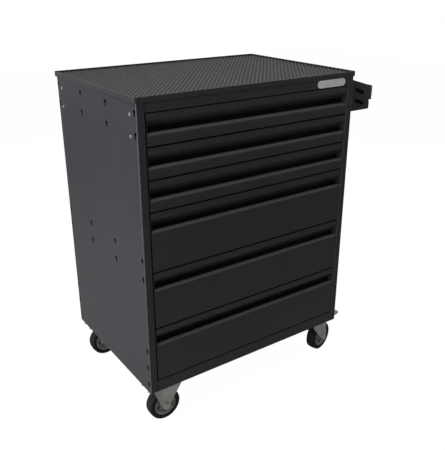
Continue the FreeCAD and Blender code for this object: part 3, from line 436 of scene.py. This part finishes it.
def wheels():
    """Finer tyre and ribbed hub for each caster."""
    made = []
    for end in ("front", "back"):
        for side in ("left", "right"):
            place = f"{end}_{side}"
            low, high = (np.array(corner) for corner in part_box(f"{place}_tyre"))
            centre, radius = (low + high) / 2, (high[2] - low[2]) / 2
            yaw = math.radians(CASTER_YAW if side == "right" else 0)
            axis = (-math.sin(yaw), math.cos(yaw), 0.0)
            half, hub_half = WHEEL_WIDTH / 2, WHEEL_WIDTH / 2 - HUB_INSET
            tyre = turned(tyre_outline(half, HUB_RADIUS + TYRE_FIT, radius), axis, centre)
            hub = turned(hub_outline(hub_half, HUB_BORE, HUB_RADIUS), axis, centre)
            ribs = hub_ribs(hub_half, HUB_RADIUS, axis, centre)
            smooth = {"tyre": len(tyre[1]), "hub": len(hub[1])}
            hub = np.concatenate([hub[0], ribs[0]]), np.concatenate([hub[1], ribs[1] + len(hub[0])])
            for kind, node, (vertices, faces) in (("tyre", "tyre", tyre), ("hub", "wheel", hub)):
                piece = mesh_piece(f"{place}_{kind}_turned", vertices, faces.tolist(), smooth[kind])
                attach(piece, f"{place}_rolling_wheel")
                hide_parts(f"{place}_{node}")
                made.append((piece, kind))
    return made


def paint(node, material):
    """Give a piece one material."""
    node.data.materials.clear()
    node.data.materials.append(material)


def paint_everything(mat, turned_pieces):
    """Every piece's finish, by what its name says it is."""
    carcass = powder_coat("carcass_coat", srgb(53, 54, 57), srgb(56, 57, 60), 0.4, 0.12)
    # Side coat with a painted highlight on the columns' bends
    sides = powder_coat("side_coat_bend_highlight", srgb(53, 54, 57), srgb(56, 57, 60), 0.4, 0.12, bends=srgb(80, 81, 84))
    # Drawer coat with painted shade in the recesses and seams and a painted highlight on the pull lips
    drawers = powder_coat("drawer_coat", srgb(50, 51, 53), srgb(53, 54, 56), 0.38, 0.16,
                          shade_and_highlight=(srgb(3, 3, 4), srgb(72, 73, 75)))
    boxes = powder_coat("box_coat", srgb(50, 51, 53), srgb(53, 54, 56), 0.4, 0.14)
    zinc = plated_steel("zinc_plate", srgb(140, 138, 134), srgb(162, 160, 156), 0.45)
    slides = plated_steel("slide_steel", srgb(140, 142, 144), srgb(164, 165, 166), 0.34)
    # Dark grey rail steel, darker than the slides: painted shade behind the keyholes
    rails = plated_steel("rail_steel_painted_shade", srgb(78, 79, 80), srgb(92, 93, 94), 0.6)
    bright = plated_steel("bright_plate", srgb(205, 204, 200), srgb(228, 227, 224), 0.25)
    inserts = plated_steel("rivet_nut_plate", srgb(184, 184, 182), srgb(198, 198, 196), 0.3, metallic=0.5)
    pedals = plated_steel("pedal_plate", srgb(72, 72, 71), srgb(84, 84, 82), 0.5)
    badge = plated_steel("badge_satin", srgb(214, 215, 216), srgb(224, 225, 226), 0.42, metallic=0.2)
    tyre, hub = tyre_rubber(), moulded_nylon()
    paint(mat, mat_rubber_groove_shade())
    for piece, kind in turned_pieces:
        paint(piece, tyre if kind == "tyre" else hub)
    finishes = [("tyre", tyre), ("wheel", hub), ("badge", badge), ("plugs", black_plastic_slot_shade()),
                ("pedal", pedals), ("rivet", inserts), ("nuts", bright), ("bolts", bright),
                ("screws", bright), ("axle", zinc), ("fork", zinc), ("caster_plate", zinc),
                ("runners", slides), ("slides", slides), ("rails", rails),
                ("_box", boxes), ("drawer", drawers), ("front_rail", drawers), ("side_panel", sides),
                ("", carcass)]
    for name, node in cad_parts.items():
        paint(node, next(material for word, material in finishes if word in name))


# Studio

def camera_stand():
    """Camera at the photograph's place, aimed along its fitted azimuth and elevation."""
    carcass_low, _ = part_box("bottom_panel")
    azimuth, elevation = math.radians(CAMERA_AZIMUTH), math.radians(CAMERA_ELEVATION)
    back = Vector((math.sin(azimuth) * math.cos(elevation), -math.cos(azimuth) * math.cos(elevation),
                   math.sin(elevation)))
    data = bpy.data.cameras.new("camera")
    data.sensor_width = SENSOR
    data.sensor_fit = "AUTO"
    data.lens = FOCAL_PIXELS / max(IMAGE_WIDTH, IMAGE_HEIGHT) * SENSOR
    camera = bpy.data.objects.new("camera", data)
    bpy.context.scene.collection.objects.link(camera)
    camera.rotation_mode = "QUATERNION"
    camera.rotation_quaternion = (-back).to_track_quat("-Z", "Y")
    camera.location = Vector(carcass_low) + CAMERA_IN_CARCASS
    bpy.context.scene.camera = camera


def softbox(name, place, aim, width, height, power):
    """Rectangular area light aimed at a point."""
    data = bpy.data.lights.new(name, "AREA")
    data.shape = "RECTANGLE"
    data.size, data.size_y, data.energy = width, height, power
    light = bpy.data.objects.new(name, data)
    light.location = place
    light.rotation_mode = "QUATERNION"
    light.rotation_quaternion = (Vector(aim) - Vector(place)).to_track_quat("-Z", "Y")
    bpy.context.scene.collection.objects.link(light)


def white_world():
    """White to the camera, to gloss and through glass; a dim even fill to everything else."""
    world = bpy.data.worlds.new("studio")
    bpy.context.scene.world = world
    world.use_nodes = True
    tree = world.node_tree
    background = tree.nodes["Background"]
    background.inputs["Color"].default_value = (1, 1, 1, 1)
    path = tree.nodes.new("ShaderNodeLightPath")
    seen = path.outputs["Is Camera Ray"]
    for ray in ("Is Glossy Ray", "Is Transmission Ray"):
        either = tree.nodes.new("ShaderNodeMath")
        either.operation = "MAXIMUM"
        tree.links.new(seen, either.inputs[0])
        tree.links.new(path.outputs[ray], either.inputs[1])
        seen = either.outputs[0]
    level = tree.nodes.new("ShaderNodeMapRange")
    level.inputs["To Min"].default_value = WORLD_FILL
    level.inputs["To Max"].default_value = 1.0
    tree.links.new(seen, level.inputs["Value"])
    tree.links.new(level.outputs["Result"], background.inputs["Strength"])


def white_floor():
    """Large pale floor that turns white to the camera away from the soft shadow."""
    corners = FLOOR_HALF * np.array([(-1, -1, 0), (1, -1, 0), (1, 1, 0), (-1, 1, 0)])
    floor = mesh_piece("floor", corners, [(0, 1, 2, 3)])
    material = bpy.data.materials.new("floor_white")
    material.use_nodes = True
    tree = material.node_tree
    shader = tree.nodes["Principled BSDF"]
    shader.inputs["Base Color"].default_value = (*[FLOOR_TONE] * 3, 1)
    shader.inputs["Roughness"].default_value = 0.9
    shader.inputs["Specular IOR Level"].default_value = 0.1
    glow = tree.nodes.new("ShaderNodeEmission")
    glow.inputs["Strength"].default_value = FLOOR_GLOW
    mix = tree.nodes.new("ShaderNodeMixShader")
    path = tree.nodes.new("ShaderNodeLightPath")
    share = tree.nodes.new("ShaderNodeMath")
    share.operation = "MULTIPLY"
    share.inputs[1].default_value = FLOOR_GLOW_SHARE
    tree.links.new(path.outputs["Is Camera Ray"], share.inputs[0])
    tree.links.new(share.outputs[0], mix.inputs[0])
    tree.links.new(shader.outputs[0], mix.inputs[1])
    tree.links.new(glow.outputs[0], mix.inputs[2])
    tree.links.new(mix.outputs[0], tree.nodes["Material Output"].inputs["Surface"])
    paint(floor, material)


def studio():
    """Camera, floor, world and the soft lights."""
    scene = bpy.context.scene
    scene.view_settings.view_transform = "Standard"
    camera_stand()
    white_world()
    white_floor()
    for name, place, aim, width, height, power in LIGHTS:
        softbox(name, place, aim, width, height, power)


paint_everything(ribbed_mat(), wheels())
studio()
